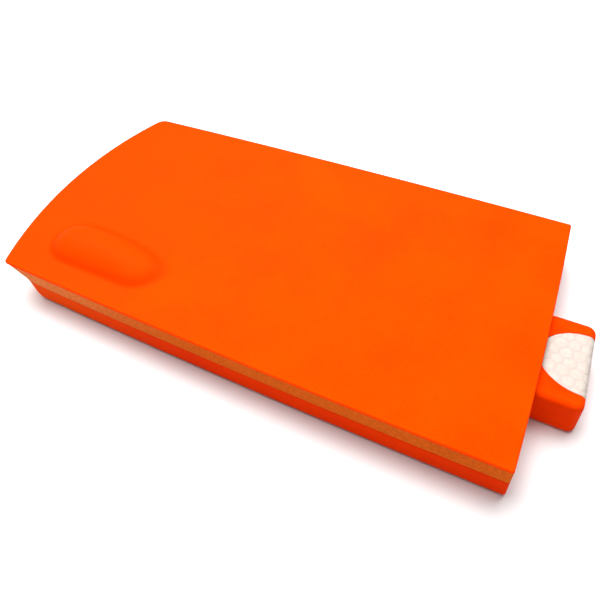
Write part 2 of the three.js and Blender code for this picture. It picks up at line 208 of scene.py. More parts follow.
def corner_arc(before: np.ndarray, after: np.ndarray, radius: float) -> tuple[np.ndarray, float]:
    """The arc that rounds the corner where one edge ends and the next begins.

    Args:
        before: The edge that ends at the corner.
        after: The edge that starts there.
        radius: The arc's radius.

    Returns:
        The arc's points, and how far from the corner each edge is cut off.
    """
    corner = before[-1]
    back = before[-2] - corner
    ahead = after[1] - corner
    back = back / np.linalg.norm(back)
    ahead = ahead / np.linalg.norm(ahead)
    half_angle = 0.5 * math.acos(float(np.clip(back @ ahead, -1.0, 1.0)))
    reach = radius / math.tan(half_angle)
    middle = (back + ahead) / np.linalg.norm(back + ahead)
    centre = corner + middle * radius / math.sin(half_angle)
    first = corner + back * reach - centre
    last = corner + ahead * reach - centre
    start = math.atan2(first[1], first[0])
    turn = (math.atan2(last[1], last[0]) - start + math.pi) % (2.0 * math.pi) - math.pi
    angles = start + np.linspace(0.0, 1.0, 25) * turn
    arc = centre + radius * np.stack([np.cos(angles), np.sin(angles)], axis=1)
    return arc, reach


@dataclass(frozen=True)
class Plan:
    """A four-sided outline whose sides may bow outwards and whose corners are rounded.

    The corners and sides run counter-clockwise from the front left: front, right, back and
    left. Sides are sampled with steps that shrink towards the corners.
    """

    left: float
    right: float
    front: float
    back: float
    bows: tuple[float, float, float, float]
    radii: tuple[float, float, float, float]
    long_count: int = 150
    short_count: int = 90

    def sides(
        self, inset: float = 0.0, setback: float = 0.0, lean: float = 0.0
    ) -> list[np.ndarray]:
        """The four sides, each from the middle of one corner's arc to the next.

        Args:
            inset: How far every side moves inwards.
            setback: How much further the left side moves inwards.
            lean: How far the right side moves outwards.

        Returns:
            Four arrays of points.
        """
        x0 = self.left + inset + setback
        x1 = self.right - inset + lean
        y0 = self.front + inset
        y1 = self.back - inset
        corners = [np.array(c) for c in ((x0, y0), (x1, y0), (x1, y1), (x0, y1))]
        edges = [bowed_edge(corners[k], corners[(k + 1) % 4], self.bows[k]) for k in range(4)]
        radii = [max(radius - inset, 0.12 * MM) for radius in self.radii]
        arcs = [corner_arc(edges[k - 1], edges[k], radii[k]) for k in range(4)]
        sides = []
        for k in range(4):
            arc, reach = arcs[k]
            next_arc, next_reach = arcs[(k + 1) % 4]
            edge = edges[k]
            from_start = np.linalg.norm(edge - edge[0], axis=1)
            from_end = np.linalg.norm(edge - edge[-1], axis=1)
            straight = edge[(from_start > reach) & (from_end > next_reach)]
            middle = len(arc) // 2
            whole = np.concatenate([arc[middle:], straight, next_arc[: middle + 1]])
            count = self.long_count if k % 2 == 0 else self.short_count
            sides.append(resampled(whole, crowded_shares(count)))
        return sides

    def ring(self, inset: float = 0.0, setback: float = 0.0, lean: float = 0.0) -> np.ndarray:
        """The whole outline as one closed ring, counter-clockwise."""
        return np.concatenate([side[:-1] for side in self.sides(inset, setback, lean)])

    def sheet(self, inset: float = 0.0) -> np.ndarray:
        """A grid of points that fills the outline.

        Opposite sides are joined by straight blends, and the part that both blends count
        twice, a plain bilinear sheet through the corners, is taken off again.

        Args:
            inset: How far the grid stays inside the outline.

        Returns:
            The grid, one row of points per step from left to right.
        """
        front, right, back, left = self.sides(inset)
        back = back[::-1]
        left = left[::-1]
        u = crowded_shares(self.long_count)[:, None, None]
        v = crowded_shares(self.short_count)[None, :, None]
        across = (1 - v) * front[:, None] + v * back[:, None]
        along = (1 - u) * left[None, :] + u * right[None, :]
        near = (1 - u) * front[0] + u * front[-1]
        far = (1 - u) * back[0] + u * back[-1]
        return across + along - (1 - v) * near - v * far


# ------------------------------------------------------------------ meshes


@dataclass
class MeshDraft:
    """Vertices and faces collected strip by strip until the mesh is made."""

    points: list[np.ndarray] = field(default_factory=list)
    faces: list[tuple[int, ...]] = field(default_factory=list)
    values: dict[str, list[np.ndarray]] = field(default_factory=dict)
    count: int = 0

    def add(self, points: np.ndarray, **values: np.ndarray | float) -> np.ndarray:
        """Adds points of any grid shape.

        Args:
            points: Positions, with x, y and z along the last axis.
            values: One number per point, or one for all, for each named attribute.

        Returns:
            The new vertices' indices, in the same grid shape.
        """
        shape = points.shape[:-1]
        size = int(np.prod(shape))
        for name in set(self.values) | set(values):
            known = self.values.setdefault(name, [np.zeros(self.count)] if self.count else [])
            known.append(np.broadcast_to(values.get(name, 0.0), shape).reshape(-1))
        self.points.append(points.reshape(-1, 3))
        first = self.count
        self.count += size
        return np.arange(first, self.count).reshape(shape)

    def patch(self, ids: np.ndarray, flip: bool = False) -> None:
        """Fills a grid of vertices with quads; flip turns their faces over.

        Args:
            ids: The vertices, in rows and columns.
            flip: Whether the faces turn over.
        """
        a, b = ids[:-1, :-1].ravel(), ids[1:, :-1].ravel()
        c, d = ids[1:, 1:].ravel(), ids[:-1, 1:].ravel()
        rows = (a, d, c, b) if flip else (a, b, c, d)
        self.faces.extend(zip(*(row.tolist() for row in rows)))

    def band(self, lower: np.ndarray, upper: np.ndarray) -> None:
        """Joins two closed rows, facing outwards if they run counter-clockwise.

        Args:
            lower: The lower row's vertices in order.
            upper: The upper row's, as many as the lower's.
        """
        lower = np.append(lower, lower[0])
        upper = np.append(upper, upper[0])
        self.patch(np.stack([lower, upper], axis=1))

    def lid(self, ring: np.ndarray, flip: bool = False) -> None:
        """Closes a ring with one flat face."""
        order = ring[::-1] if flip else ring
        self.faces.append(tuple(int(index) for index in order))

    def build(self, name: str) -> bpy.types.Object:
        """Makes the mesh and an object that holds it, at the origin.

        Args:
            name: Name of the mesh and of the object.

        Returns:
            The object.
        """
        mesh = bpy.data.meshes.new(name)
        mesh.from_pydata(np.concatenate(self.points).tolist(), [], self.faces)
        for key, parts in self.values.items():
            layer = mesh.attributes.new(key, "FLOAT", "POINT")
            layer.data.foreach_set("value", np.concatenate(parts).astype(np.float32))
        mesh.validate()
        mesh.shade_smooth()
        obj = bpy.data.objects.new(name, mesh)
        bpy.context.scene.collection.objects.link(obj)
        return obj


def grid_rim(ids: np.ndarray) -> np.ndarray:
    """The rim of a grid of vertices, counter-clockwise from its first corner."""
    return np.concatenate([ids[:-1, 0], ids[-1, :-1], ids[:0:-1, -1], ids[0, :0:-1]])


def with_height(points: np.ndarray, height: np.ndarray | float) -> np.ndarray:
    """Adds a z to points in plan."""
    z = np.broadcast_to(height, points.shape[:-1])
    return np.concatenate([points, z[..., None]], axis=-1)


@dataclass(frozen=True)
class Level:
    """One outline in a stack: its height, how far each side is moved, and how worn it is."""

    z: float
    inset: float = 0.0
    setback: float = 0.0
    wear: float = 0.0
    lean: float = 0.0


def rounded_levels(
    bottom: float,
    top: float,
    low_round: float,
    high_round: float,
    setback: float = 0.0,
    inset: float = 0.0,
    steps: int = 5,
) -> list[Level]:
    """Levels of an upright wall whose lower and upper edges are quarter circles.

    Args:
        bottom: Height of the lower face.
        top: Height of the upper face.
        low_round: Radius of the lower edge's quarter circle.
        high_round: Radius of the upper edge's quarter circle.
        setback: How far the left end stands back.
        inset: How far the wall lies inside the outline.
        steps: Steps in each quarter circle.

    Returns:
        The levels from the bottom up.
    """
    levels = []
    for step in range(steps + 1):
        angle = step / steps * math.pi / 2.0
        pulled = inset + low_round * (1.0 - math.sin(angle))
        z = bottom + low_round * (1.0 - math.cos(angle))
        levels.append(Level(z, pulled, setback, wear=1.0 - step / steps))
    for step in range(steps + 1):
        angle = step / steps * math.pi / 2.0
        pulled = inset + high_round * (1.0 - math.cos(angle))
        z = top - high_round * (1.0 - math.sin(angle))
        levels.append(Level(z, pulled, setback, wear=step / steps))
    return levels


def leaning(levels: list[Level], lean: float, top: float, foot: float) -> list[Level]:
    """The same levels with a right-hand end that stands out by lean at the height foot."""
    return [replace(level, lean=lean * (top - level.z) / (top - foot)) for level in levels]


def pulled_in(height: float, radius: float) -> float:
    """How far a rounded lower edge pulls its wall in at a height above the bottom."""
    left = max(radius - height, 0.0)
    return radius - math.sqrt(radius * radius - left * left)


def stacked(name: str, plan: Plan, levels: list[Level]) -> bpy.types.Object:
    """A closed solid over a stack of outlines, with a flat face below and above.

    Args:
        name: The piece's name.
        plan: The outline that every level follows.
        levels: The levels from the bottom up.

    Returns:
        The solid.
    """
    draft = MeshDraft()
    rows = []
    for level in levels:
        ring = plan.ring(level.inset, level.setback, level.lean)
        rows.append(draft.add(with_height(ring, level.z), wear=level.wear))
    for lower, upper in zip(rows, rows[1:]):
        draft.band(lower, upper)
    draft.lid(rows[0], flip=True)
    draft.lid(rows[-1])
    return draft.build(name)


def box_object(low: Vector, high: Vector) -> bpy.types.Object:
    """A plain box between two corners, for cutting and joining.

    Args:
        low: Its lowest corner.
        high: Its highest corner.

    Returns:
        The box.
    """
    draft = MeshDraft()
    ring = np.array([(low.x, low.y), (high.x, low.y), (high.x, high.y), (low.x, high.y)])
    lower = draft.add(with_height(ring, low.z))
    upper = draft.add(with_height(ring, high.z))
    draft.band(lower, upper)
    draft.lid(lower, flip=True)
    draft.lid(upper)
    return draft.build("tool")


SHARP_ANGLE = 38.0  # edges that turn by more than this many degrees get a chamfer


class Cut(Enum):
    """What a tool solid does to the piece that it works on."""

    REMOVE = "DIFFERENCE"
    JOIN = "UNION"


def worked(
    piece: bpy.types.Object,
    tools: list[tuple[Cut, bpy.types.Object]],
    bevel: float = 0.0,
    segments: int = 2,
) -> bpy.types.Object:
    """Cuts and joins tools on a piece, breaks its sharp edges and evens its shading.

    Args:
        piece: The solid to work on.
        tools: What each tool does, and the tool, which is used up.
        bevel: Width of the chamfer on every sharp edge, or 0 for none.
        segments: How many strips round each chamfer.

    Returns:
        The same object with its new mesh and no modifiers.
    """
    for kind, tool in tools:
        step = piece.modifiers.new("work", "BOOLEAN")
        step.operation = kind.value
        step.solver = "EXACT"
        step.object = tool
    if bevel > 0.0:
        edge = piece.modifiers.new("edge", "BEVEL")
        edge.limit_method = "ANGLE"
        edge.angle_limit = math.radians(SHARP_ANGLE)
        edge.width = bevel
        edge.segments = segments
        edge.use_clamp_overlap = True
    even = piece.modifiers.new("even", "WEIGHTED_NORMAL")
    even.keep_sharp = True
    even.weight = 60
    graph = bpy.context.evaluated_depsgraph_get()
    graph.update()
    mesh = bpy.data.meshes.new_from_object(piece.evaluated_get(graph))
    piece.modifiers.clear()
    old = piece.data
    piece.data = mesh
    mesh.name = piece.name
    bpy.data.meshes.remove(old)
    for _, tool in tools:
        tool_mesh = tool.data
        bpy.data.objects.remove(tool)
        bpy.data.meshes.remove(tool_mesh)
    return piece


# ------------------------------------------------------------------ material nodes


class Shader:
    """Short calls that build one material's nodes in object coordinates."""

    def __init__(self, name: str) -> None:
        """Starts an empty principled material.

        Args:
            name: The material's name.
        """
        self.material = bpy.data.materials.new(name)
        self.material.use_nodes = True
        self.tree = self.material.node_tree
        self.surface = self.tree.nodes["Principled BSDF"]
        self.place = self.tree.nodes.new("ShaderNodeTexCoord").outputs["Object"]

    def node(self, kind: str, inputs: dict | None = None, **settings: object) -> bpy.types.Node:
        """Adds a node, sets its properties, and sets or links its inputs.

        Args:
            kind: The node's Blender type.
            inputs: Values or sockets for its inputs, by name.
            settings: The node's own properties.

        Returns:
            The new node.
        """
        made = self.tree.nodes.new(kind)
        for key, value in settings.items():
            setattr(made, key, value)
        for key, value in (inputs or {}).items():
            self.feed(made.inputs[key], value)
        return made

    def feed(self, socket: bpy.types.NodeSocket, value: object) -> None:
        """Links a socket to another one, or sets its own value."""
        if isinstance(value, bpy.types.NodeSocket):
            self.tree.links.new(value, socket)
        elif isinstance(value, tuple) and len(value) == 3 and socket.type == "RGBA":
            socket.default_value = (*value, 1.0)
        else:
            socket.default_value = value

    def stretched(self, scale: Colour) -> bpy.types.NodeSocket:
        """Object coordinates stretched by a factor along each axis."""
        made = self.node("ShaderNodeMapping", {"Vector": self.place, "Scale": scale})
        return made.outputs["Vector"]

    def noise(
        self,
        size: float,
        detail: float = 2.0,
        roughness: float = 0.5,
        place: bpy.types.NodeSocket | None = None,
    ) -> bpy.types.NodeSocket:
        """Cloudy noise from 0 to 1 whose blots are about size metres across."""
        made = self.node(
            "ShaderNodeTexNoise",
            {
                "Vector": place or self.place,
                "Scale": 1.0 / size,
                "Detail": detail,
                "Roughness": roughness,
            },
        )
        return made.outputs["Fac"]

    def cells(self, size: float) -> bpy.types.NodeSocket:
        """Distance pattern of scattered cells about size metres across."""
        made = self.node(
            "ShaderNodeTexVoronoi",
            {"Vector": self.place, "Scale": 1.0 / size},
        )
        return made.outputs["Distance"]

    def attribute(self, name: str) -> bpy.types.NodeSocket:
        """The number that the mesh holds under that name."""
        return self.node("ShaderNodeAttribute", attribute_name=name).outputs["Fac"]

    def spread(
        self, value: bpy.types.NodeSocket, low: float, high: float, to: tuple[float, float]
    ) -> bpy.types.NodeSocket:
        """Maps low..high smoothly to the two ends of to, and clamps outside."""
        made = self.node(
            "ShaderNodeMapRange",
            {
                "Value": value,
                "From Min": low,
                "From Max": high,
                "To Min": to[0],
                "To Max": to[1],
            },
            interpolation_type="SMOOTHSTEP",
        )
        return made.outputs["Result"]

    def mixed(
        self,
        share: bpy.types.NodeSocket,
        first: Colour | bpy.types.NodeSocket,
        second: Colour | bpy.types.NodeSocket,
    ) -> bpy.types.NodeSocket:
        """Mixes two colours by share.

        Args:
            share: 0 gives the first colour and 1 the second.
            first: A colour or a socket that gives one.
            second: Another.

        Returns:
            The mixed colour.
        """
        made = self.node("ShaderNodeMix", data_type="RGBA")
        self.feed(made.inputs["Factor"], share)
        self.feed(made.inputs[6], first)
        self.feed(made.inputs[7], second)
        return made.outputs[2]

    def sum(
        self, first: bpy.types.NodeSocket, second: bpy.types.NodeSocket | float, kind: str = "ADD"
    ) -> bpy.types.NodeSocket:
        """Adds two numbers, or combines them by another Math operation.

        Args:
            first: The first number.
            second: The second number.
            kind: The Math operation.

        Returns:
            The result.
        """
        made = self.node("ShaderNodeMath", operation=kind)
        self.feed(made.inputs[0], first)
        self.feed(made.inputs[1], second)
        return made.outputs[0]

    def bump(
        self,
        height: bpy.types.NodeSocket,
        depth: float,
        strength: float = 1.0,
        under: bpy.types.NodeSocket | None = None,
    ) -> bpy.types.NodeSocket:
        """Relief of the given depth in metres, laid over another relief if there is one.

        Args:
            height: Relief from 0 to 1.
            depth: How deep a full step is.
            strength: How strongly it shows.
            under: Another relief that this one lies on.

        Returns:
            The normal.
        """
        made = self.node(
            "ShaderNodeBump", {"Height": height, "Distance": depth, "Strength": strength}
        )
        if under is not None:
            self.feed(made.inputs["Normal"], under)
        return made.outputs["Normal"]

    def finish(
        self,
        colour: Colour | bpy.types.NodeSocket,
        roughness: float | bpy.types.NodeSocket,
        normal: bpy.types.NodeSocket | None = None,
        **sockets: float | tuple,
    ) -> bpy.types.Material:
        """Sets the surface and returns the material.

        Args:
            colour: The base colour.
            roughness: The roughness.
            normal: The relief, if there is one.
            sockets: Values for the shader's other sockets, spaces written as underscores.

        Returns:
            The finished material.
        """
        self.feed(self.surface.inputs["Base Color"], colour)
        self.feed(self.surface.inputs["Roughness"], roughness)
        if normal is not None:
            self.feed(self.surface.inputs["Normal"], normal)
        for key, value in sockets.items():
            self.feed(self.surface.inputs[key.replace("_", " ")], value)
        return self.material


@dataclass(frozen=True)
class Moulded:
    """How a moulded plastic looks."""

    name: str
    colour: Colour
    shade: Colour  # the colour in the grain's hollows and in faint blots
    worn: Colour  # the colour along rubbed edges
    deep: Colour  # the painted shade along the ridge's foot
    left_light_tone: Colour  # the colour painted towards the left end, for light and shade that fall differently there
    roughness: float
    specular: float
    grain: float  # size of the grain's pips
    relief: float  # depth of the grain
    sheen_tint: Colour = (1.0, 1.0, 1.0)  # colour of its soft reflections


DECK_FINISH = Moulded(
    "satin_orange_skin", (0.94, 0.059, 0.0), (0.92, 0.046, 0.0), (0.95, 0.068, 0.001),
    (0.86, 0.026, 0.0), (0.93, 0.046, 0.0), roughness=0.5, specular=0.02, grain=0.42 * MM,
    relief=0.012 * MM,
    sheen_tint=(1.0, 0.4, 0.02),
)
BODY_FINISH = Moulded(
    "orange_moulding", (0.86, 0.038, 0.0), (0.8, 0.028, 0.0), (0.9, 0.055, 0.001),
    (0.7, 0.02, 0.0), (0.92, 0.085, 0.0), roughness=0.55, specular=0.008, grain=0.55 * MM,
    relief=0.02 * MM,
    sheen_tint=(1.0, 0.35, 0.02),
)
NOSE_FINISH = replace(
    BODY_FINISH, name="orange_nose", colour=(0.9, 0.046, 0.0), shade=(0.86, 0.034, 0.0),
    worn=(0.93, 0.07, 0.001),
)
NYLON_FINISH = Moulded(
    "natural_nylon", (0.8, 0.78, 0.7), (0.74, 0.71, 0.62), (0.85, 0.84, 0.78),
    (0.6, 0.57, 0.5), (0.78, 0.76, 0.66), roughness=0.38, specular=0.45, grain=0.6 * MM,
    relief=0.006 * MM,
)
RUBBER_FINISH = Moulded(
    "black_rubber", (0.018, 0.018, 0.019), (0.012, 0.012, 0.013), (0.04, 0.04, 0.041),
    (0.03, 0.029, 0.028), (0.02, 0.02, 0.02), roughness=0.78, specular=0.3, grain=0.35 * MM,
    relief=0.02 * MM,
)

LEFT_LIGHT_SPAN = (-120.0 * MM, -10.0 * MM)  # the stretch of the length over which the painted light and shade of the left end comes in
LEFT_LIGHT_SHARE = 0.8  # how strongly the mouldings take their painted left-end colour at the left end
LEFT_SHEEN_SHARE = 0.9  # how strongly the board's edge takes its painted pale sheen there


def moulded_material(look: Moulded) -> bpy.types.Material:
    """A moulded plastic: fine pips, faint large blots, painted light and shade towards the left
    end, rubbed edges, and painted shade along the ridge's foot.

    Args:
        look: The plastic's colours and surface.

    Returns:
        The new material.
    """
    shader = Shader(look.name)
    pips = shader.noise(look.grain, detail=3.0, roughness=0.55)
    blots = shader.noise(26.0 * MM, detail=4.0, roughness=0.6)
    share = shader.spread(shader.sum(pips, blots), 0.75, 1.25, (0.0, 1.0))
    colour = shader.mixed(share, look.shade, look.colour)
    along = shader.node("ShaderNodeSeparateXYZ", {"Vector": shader.place}).outputs["X"]
    # painted light and shade: towards the left end the colour moves to a lighter or darker tone,
    # for light that falls differently there
    colour = shader.mixed(shader.spread(along, *LEFT_LIGHT_SPAN, (LEFT_LIGHT_SHARE, 0.0)), colour, look.left_light_tone)
    rubbed = shader.sum(
        shader.attribute("wear"), shader.spread(blots, 0.35, 0.7, (0.1, 0.6)), "MULTIPLY"
    )
    colour = shader.mixed(rubbed, colour, look.worn)
    # painted shade: a darker tone along the ridge's foot, where the deck turns up into the ridge
    painted_foot_shade = shader.sum(
        shader.attribute("hollow"), shader.spread(blots, 0.2, 0.8, (0.4, 0.85)), "MULTIPLY"
    )
    colour = shader.mixed(painted_foot_shade, colour, look.deep)
    roughness = shader.spread(blots, 0.3, 0.7, (look.roughness - 0.05, look.roughness + 0.05))
    swell = shader.bump(shader.noise(9.0 * MM, detail=1.0), 0.05 * MM, 0.35)
    normal = shader.bump(pips, look.relief, 0.8, under=swell)
    return shader.finish(
        colour, roughness, normal, Specular_IOR_Level=look.specular,
        Specular_Tint=look.sheen_tint,
    )


def fibreboard_material() -> bpy.types.Material:
    """Raw board edge: fine even fibres, dark specks, a soft nap, and a painted pale sheen towards
    its left end.

    Returns:
        The new material.
    """
    shader = Shader("fibreboard_edge")
    flat = shader.stretched((0.7, 0.7, 1.0))
    fibres = shader.noise(0.4 * MM, detail=4.0, roughness=0.75, place=flat)
    clumps = shader.noise(1.3 * MM, detail=3.0, roughness=0.6)
    tone = shader.spread(shader.sum(fibres, clumps), 0.7, 1.3, (0.0, 1.0))
    colour = shader.mixed(tone, (0.6, 0.085, 0.005), (0.78, 0.14, 0.01))
    specks = shader.spread(shader.noise(0.7 * MM, detail=2.0), 0.62, 0.72, (0.0, 0.5))
    colour = shader.mixed(specks, colour, (0.36, 0.068, 0.004))
    pale = shader.spread(shader.cells(0.7 * MM), 0.0, 0.2, (0.35, 0.0))
    colour = shader.mixed(pale, colour, (0.82, 0.21, 0.035))
    along = shader.node("ShaderNodeSeparateXYZ", {"Vector": shader.place}).outputs["X"]
    # painted sheen: paler towards the left end, broken up by the clumps
    left_sheen = shader.sum(shader.spread(along, *LEFT_LIGHT_SPAN, (LEFT_SHEEN_SHARE, 0.0)), clumps, "MULTIPLY")
    colour = shader.mixed(left_sheen, colour, (0.9, 0.33, 0.12))
    normal = shader.bump(shader.sum(fibres, clumps), 0.1 * MM, 0.8)
    return shader.finish(colour, 0.92, normal, Specular_IOR_Level=0.03)


def grip_material() -> bpy.types.Material:
    """Soft off-white grip: pale pillows with faint pink seams.

    Returns:
        The new material.
    """
    shader = Shader("honeycomb_grip")
    seam = shader.attribute("seam")
    mottle = shader.noise(1.6 * MM, detail=4.0, roughness=0.6)
    pillow = shader.mixed(
        shader.spread(mottle, 0.35, 0.65, (0.0, 1.0)), (0.53, 0.46, 0.4), (0.57, 0.51, 0.455)
    )
    share = shader.sum(seam, shader.spread(mottle, 0.3, 0.7, (0.55, 1.0)), "MULTIPLY")
    colour = shader.mixed(share, pillow, (0.52, 0.42, 0.385))
    normal = shader.bump(shader.noise(0.3 * MM, detail=3.0), 0.015 * MM, 0.8)
    return shader.finish(
        colour, 0.62, normal, Specular_IOR_Level=0.15, Subsurface_Weight=0.15,
        Subsurface_Scale=0.8 * MM, Subsurface_Radius=(1.0, 0.7, 0.55),
    )


def foam_material() -> bpy.types.Material:
    """Closed-cell foam: a dense field of tiny bubbles cut open.

    Returns:
        The new material.
    """
    shader = Shader("closed_cell_foam")
    bubbles = shader.cells(0.55 * MM)
    share = shader.spread(bubbles, 0.1, 0.55, (0.0, 1.0))
    colour = shader.mixed(share, (0.022, 0.022, 0.025), (0.062, 0.062, 0.067))
    normal = shader.bump(bubbles, 0.1 * MM, 0.9)
    return shader.finish(colour, 0.9, normal, Specular_IOR_Level=0.2)


def hook_material() -> bpy.types.Material:
    """Black hook fabric: a woven ground, with shiny nylon tips on its hooks.

    Returns:
        The new material.
    """
    shader = Shader("hook_fabric")
    tip = shader.attribute("tip")
    threads = shader.node(
        "ShaderNodeTexWave",
        {"Vector": shader.place, "Scale": 1.0 / (3.2 * MM), "Distortion": 1.5, "Detail": 2.0},
        wave_type="BANDS",
    ).outputs["Fac"]
    ground = shader.mixed(threads, (0.007, 0.007, 0.009), (0.022, 0.022, 0.026))
    colour = shader.mixed(tip, ground, (0.045, 0.045, 0.05))
    roughness = shader.spread(tip, 0.0, 1.0, (0.85, 0.4))
    normal = shader.bump(threads, 0.1 * MM, 0.8)
    return shader.finish(colour, roughness, normal, Specular_IOR_Level=0.4)


def felt_material() -> bpy.types.Material:
    """Grey wool felt: tangled fibres with a soft sheen.

    Returns:
        The new material.
    """
    shader = Shader("wool_felt")
    fibres = shader.noise(0.25 * MM, detail=6.0, roughness=0.75)
    tufts = shader.noise(1.8 * MM, detail=3.0, roughness=0.6)
    share = shader.spread(shader.sum(fibres, tufts), 0.75, 1.25, (0.0, 1.0))
    colour = shader.mixed(share, (0.1, 0.097, 0.092), (0.22, 0.215, 0.205))
    normal = shader.bump(fibres, 0.15 * MM, 1.0)
    return shader.finish(
        colour, 0.95, normal, Specular_IOR_Level=0.1, Sheen_Weight=0.5, Sheen_Roughness=0.5
    )


def zinc_material() -> bpy.types.Material:
    """Zinc-plated steel: bright, with fine turning marks and a faint cloudiness.

    Returns:
        The new material.
    """
    shader = Shader("zinc_steel")
    cloud = shader.noise(1.4 * MM, detail=3.0)
    colour = shader.mixed(cloud, (0.5, 0.52, 0.55), (0.74, 0.75, 0.76))
    roughness = shader.spread(cloud, 0.3, 0.7, (0.24, 0.4))
    marks = shader.noise(0.12 * MM, detail=1.0, place=shader.stretched((1.0, 1.0, 6.0)))
    normal = shader.bump(marks, 0.01 * MM, 0.6)
    return shader.finish(colour, roughness, normal, Metallic=1.0)


def floor_material() -> bpy.types.Material:
    """Plain pale matt floor.

    Returns:
        The new material.
    """
    shader = Shader("pale_floor")
    cloud = shader.noise(0.4, detail=2.0)
    colour = shader.mixed(cloud, (0.8, 0.8, 0.8), (0.83, 0.83, 0.83))
    return shader.finish(colour, 0.85, Specular_IOR_Level=0.1)


# ------------------------------------------------------------------ the block


@dataclass
class Block:
    """The sanding block's visible pieces, worked out from the CAD nodes' boxes."""

    moulding: bpy.types.Material
    skin: bpy.types.Material

    def __post_init__(self) -> None:
        """Works out the heights and the outline from the CAD nodes."""
        deck_low, deck_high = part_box("deck_skin")
        base_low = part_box("base_body")[0]
        nose_low, nose_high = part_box("nose_slide")
        self.skin_bottom = deck_low.z
        self.core_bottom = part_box("core_board")[0].z
        self.base_bottom = base_low.z
        self.deck_top = deck_high.z
        self.plan = Plan(
            left=deck_low.x + END_BULGE,
            right=deck_high.x - MOUTH_BOW,
            front=deck_low.y + SIDE_BOW,
            back=deck_high.y - SIDE_BOW,
            bows=(SIDE_BOW, MOUTH_BOW, SIDE_BOW, END_BULGE),
            radii=(
                NEAR_CORNER_RADIUS,
                MOUTH_CORNER_RADIUS,
                MOUTH_CORNER_RADIUS,
                FAR_CORNER_RADIUS,
            ),
        )
        self.base_setback = base_low.x - deck_low.x - BASE_INSET
        self.channel_middle = (nose_low.y + nose_high.y) / 2.0
        self.channel_half = (nose_high.y - nose_low.y) / 2.0 - FLANGE_REACH + RUNNING_GAP
        self.channel_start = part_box("stop_bumper")[0].x - 0.3 * MM
        self.channel_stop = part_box("glide_strip_front")[1].x + 0.3 * MM
        self.nose_top = nose_high.z

    def leaning(self, levels: list[Level]) -> list[Level]:
        """The levels of a layer, with the block's leaning right-hand end."""
        foot = self.base_bottom + BASE_EDGE_ROUND
        return leaning(levels, END_LEAN, self.skin_bottom + SKIN_THICKNESS, foot)

    def room(
        self, half: float, start: float, end: float, low: float, high: float
    ) -> bpy.types.Object:
        """A tool that clears the nose's way between two heights."""
        return box_object(
            Vector((start, self.channel_middle - half, low)),
            Vector((end, self.channel_middle + half, high)),
        )


def ridge_share(x: np.ndarray, y: np.ndarray, plan: Plan) -> np.ndarray:
    """How far a place on the deck is from the ridge's spine, where its foot is at 1.

    In plan the ridge is a pill, round at its left end. At its right end the near side
    curves in late and the far side early, with a smooth blend between.

    Args:
        x: Places along the block.
        y: Places across it.
        plan: The deck's outline.

    Returns:
        The share of the reach at each place, 0 on the spine.
    """
    start = plan.left + RIDGE_START
    across = (y - plan.front - RIDGE_MIDDLE) / RIDGE_HALF_WIDTH
    farness = np.clip(0.5 + 0.5 * across, 0.0, 1.0)
    farness = farness * farness * (3.0 - 2.0 * farness)
    tail = RIDGE_NEAR_TAIL + (RIDGE_FAR_TAIL - RIDGE_NEAR_TAIL) * farness
    before = np.clip(start + RIDGE_HEAD - x, 0.0, None) / RIDGE_HEAD
    after = np.clip(x - start - RIDGE_LENGTH + tail, 0.0, None) / tail
    return np.sqrt(before**2 + after**2 + across**2)


def ridge_height(share: np.ndarray) -> np.ndarray:
    """Height of the thumb ridge over the deck.

    Its section is a circular arc. Half the sum of the arc's height and the length of that
    height with the foot's softness turns the sharp foot into a soft one.

    Args:
        share: Share of the reach from the spine, 1 at the foot.

    Returns:
        The height at each share.
    """
    radius = (RIDGE_HALF_WIDTH**2 + RIDGE_HEIGHT**2) / (2.0 * RIDGE_HEIGHT)
    off = np.clip(share, 0.0, RIDGE_OUTSKIRTS) * RIDGE_HALF_WIDTH
    arc = np.sqrt(np.clip(radius**2 - off**2, 0.0, None)) - (radius - RIDGE_HEIGHT)
    soft = 0.5 * (arc + np.sqrt(arc**2 + RIDGE_FOOT**2))
    fade = np.clip((RIDGE_OUTSKIRTS - share) / (RIDGE_OUTSKIRTS - 1.0), 0.0, 1.0)
    return soft * fade * fade * (3.0 - 2.0 * fade)


def make_deck(block: Block) -> bpy.types.Object:
    """The thin top skin with its thumb ridge and finely rounded edge.

    Args:
        block: Sizes and finishes of the block.

    Returns:
        The deck.
    """
    bottom = block.skin_bottom + BOND_GAP
    top = block.skin_bottom + SKIN_THICKNESS
    levels = rounded_levels(bottom, top, 0.12 * MM, SKIN_EDGE_ROUND, steps=8)
    draft = MeshDraft()
    rows = []
    for level in levels[:-1]:
        ring = block.plan.ring(level.inset)
        rows.append(draft.add(with_height(ring, level.z), wear=level.wear))
    sheet = block.plan.sheet(levels[-1].inset)
    share = ridge_share(sheet[..., 0], sheet[..., 1], block.plan)
    height = top + ridge_height(share)
    # painted shade mask: strongest just inside the ridge's foot
    hollow = np.exp(-(((share - 0.94) / 0.14) ** 2)) * 0.7
    edge = np.zeros(sheet.shape[:2])
    edge[[0, -1], :] = 1.0
    edge[:, [0, -1]] = 1.0
    cap = draft.add(with_height(sheet, height), wear=edge, hollow=hollow)
    draft.patch(cap)
    for lower, upper in zip(rows, rows[1:]):
        draft.band(lower, upper)
    draft.band(rows[-1], grid_rim(cap))
    draft.lid(rows[0], flip=True)
    deck = draft.build("deck")
    return worked(deck, [])


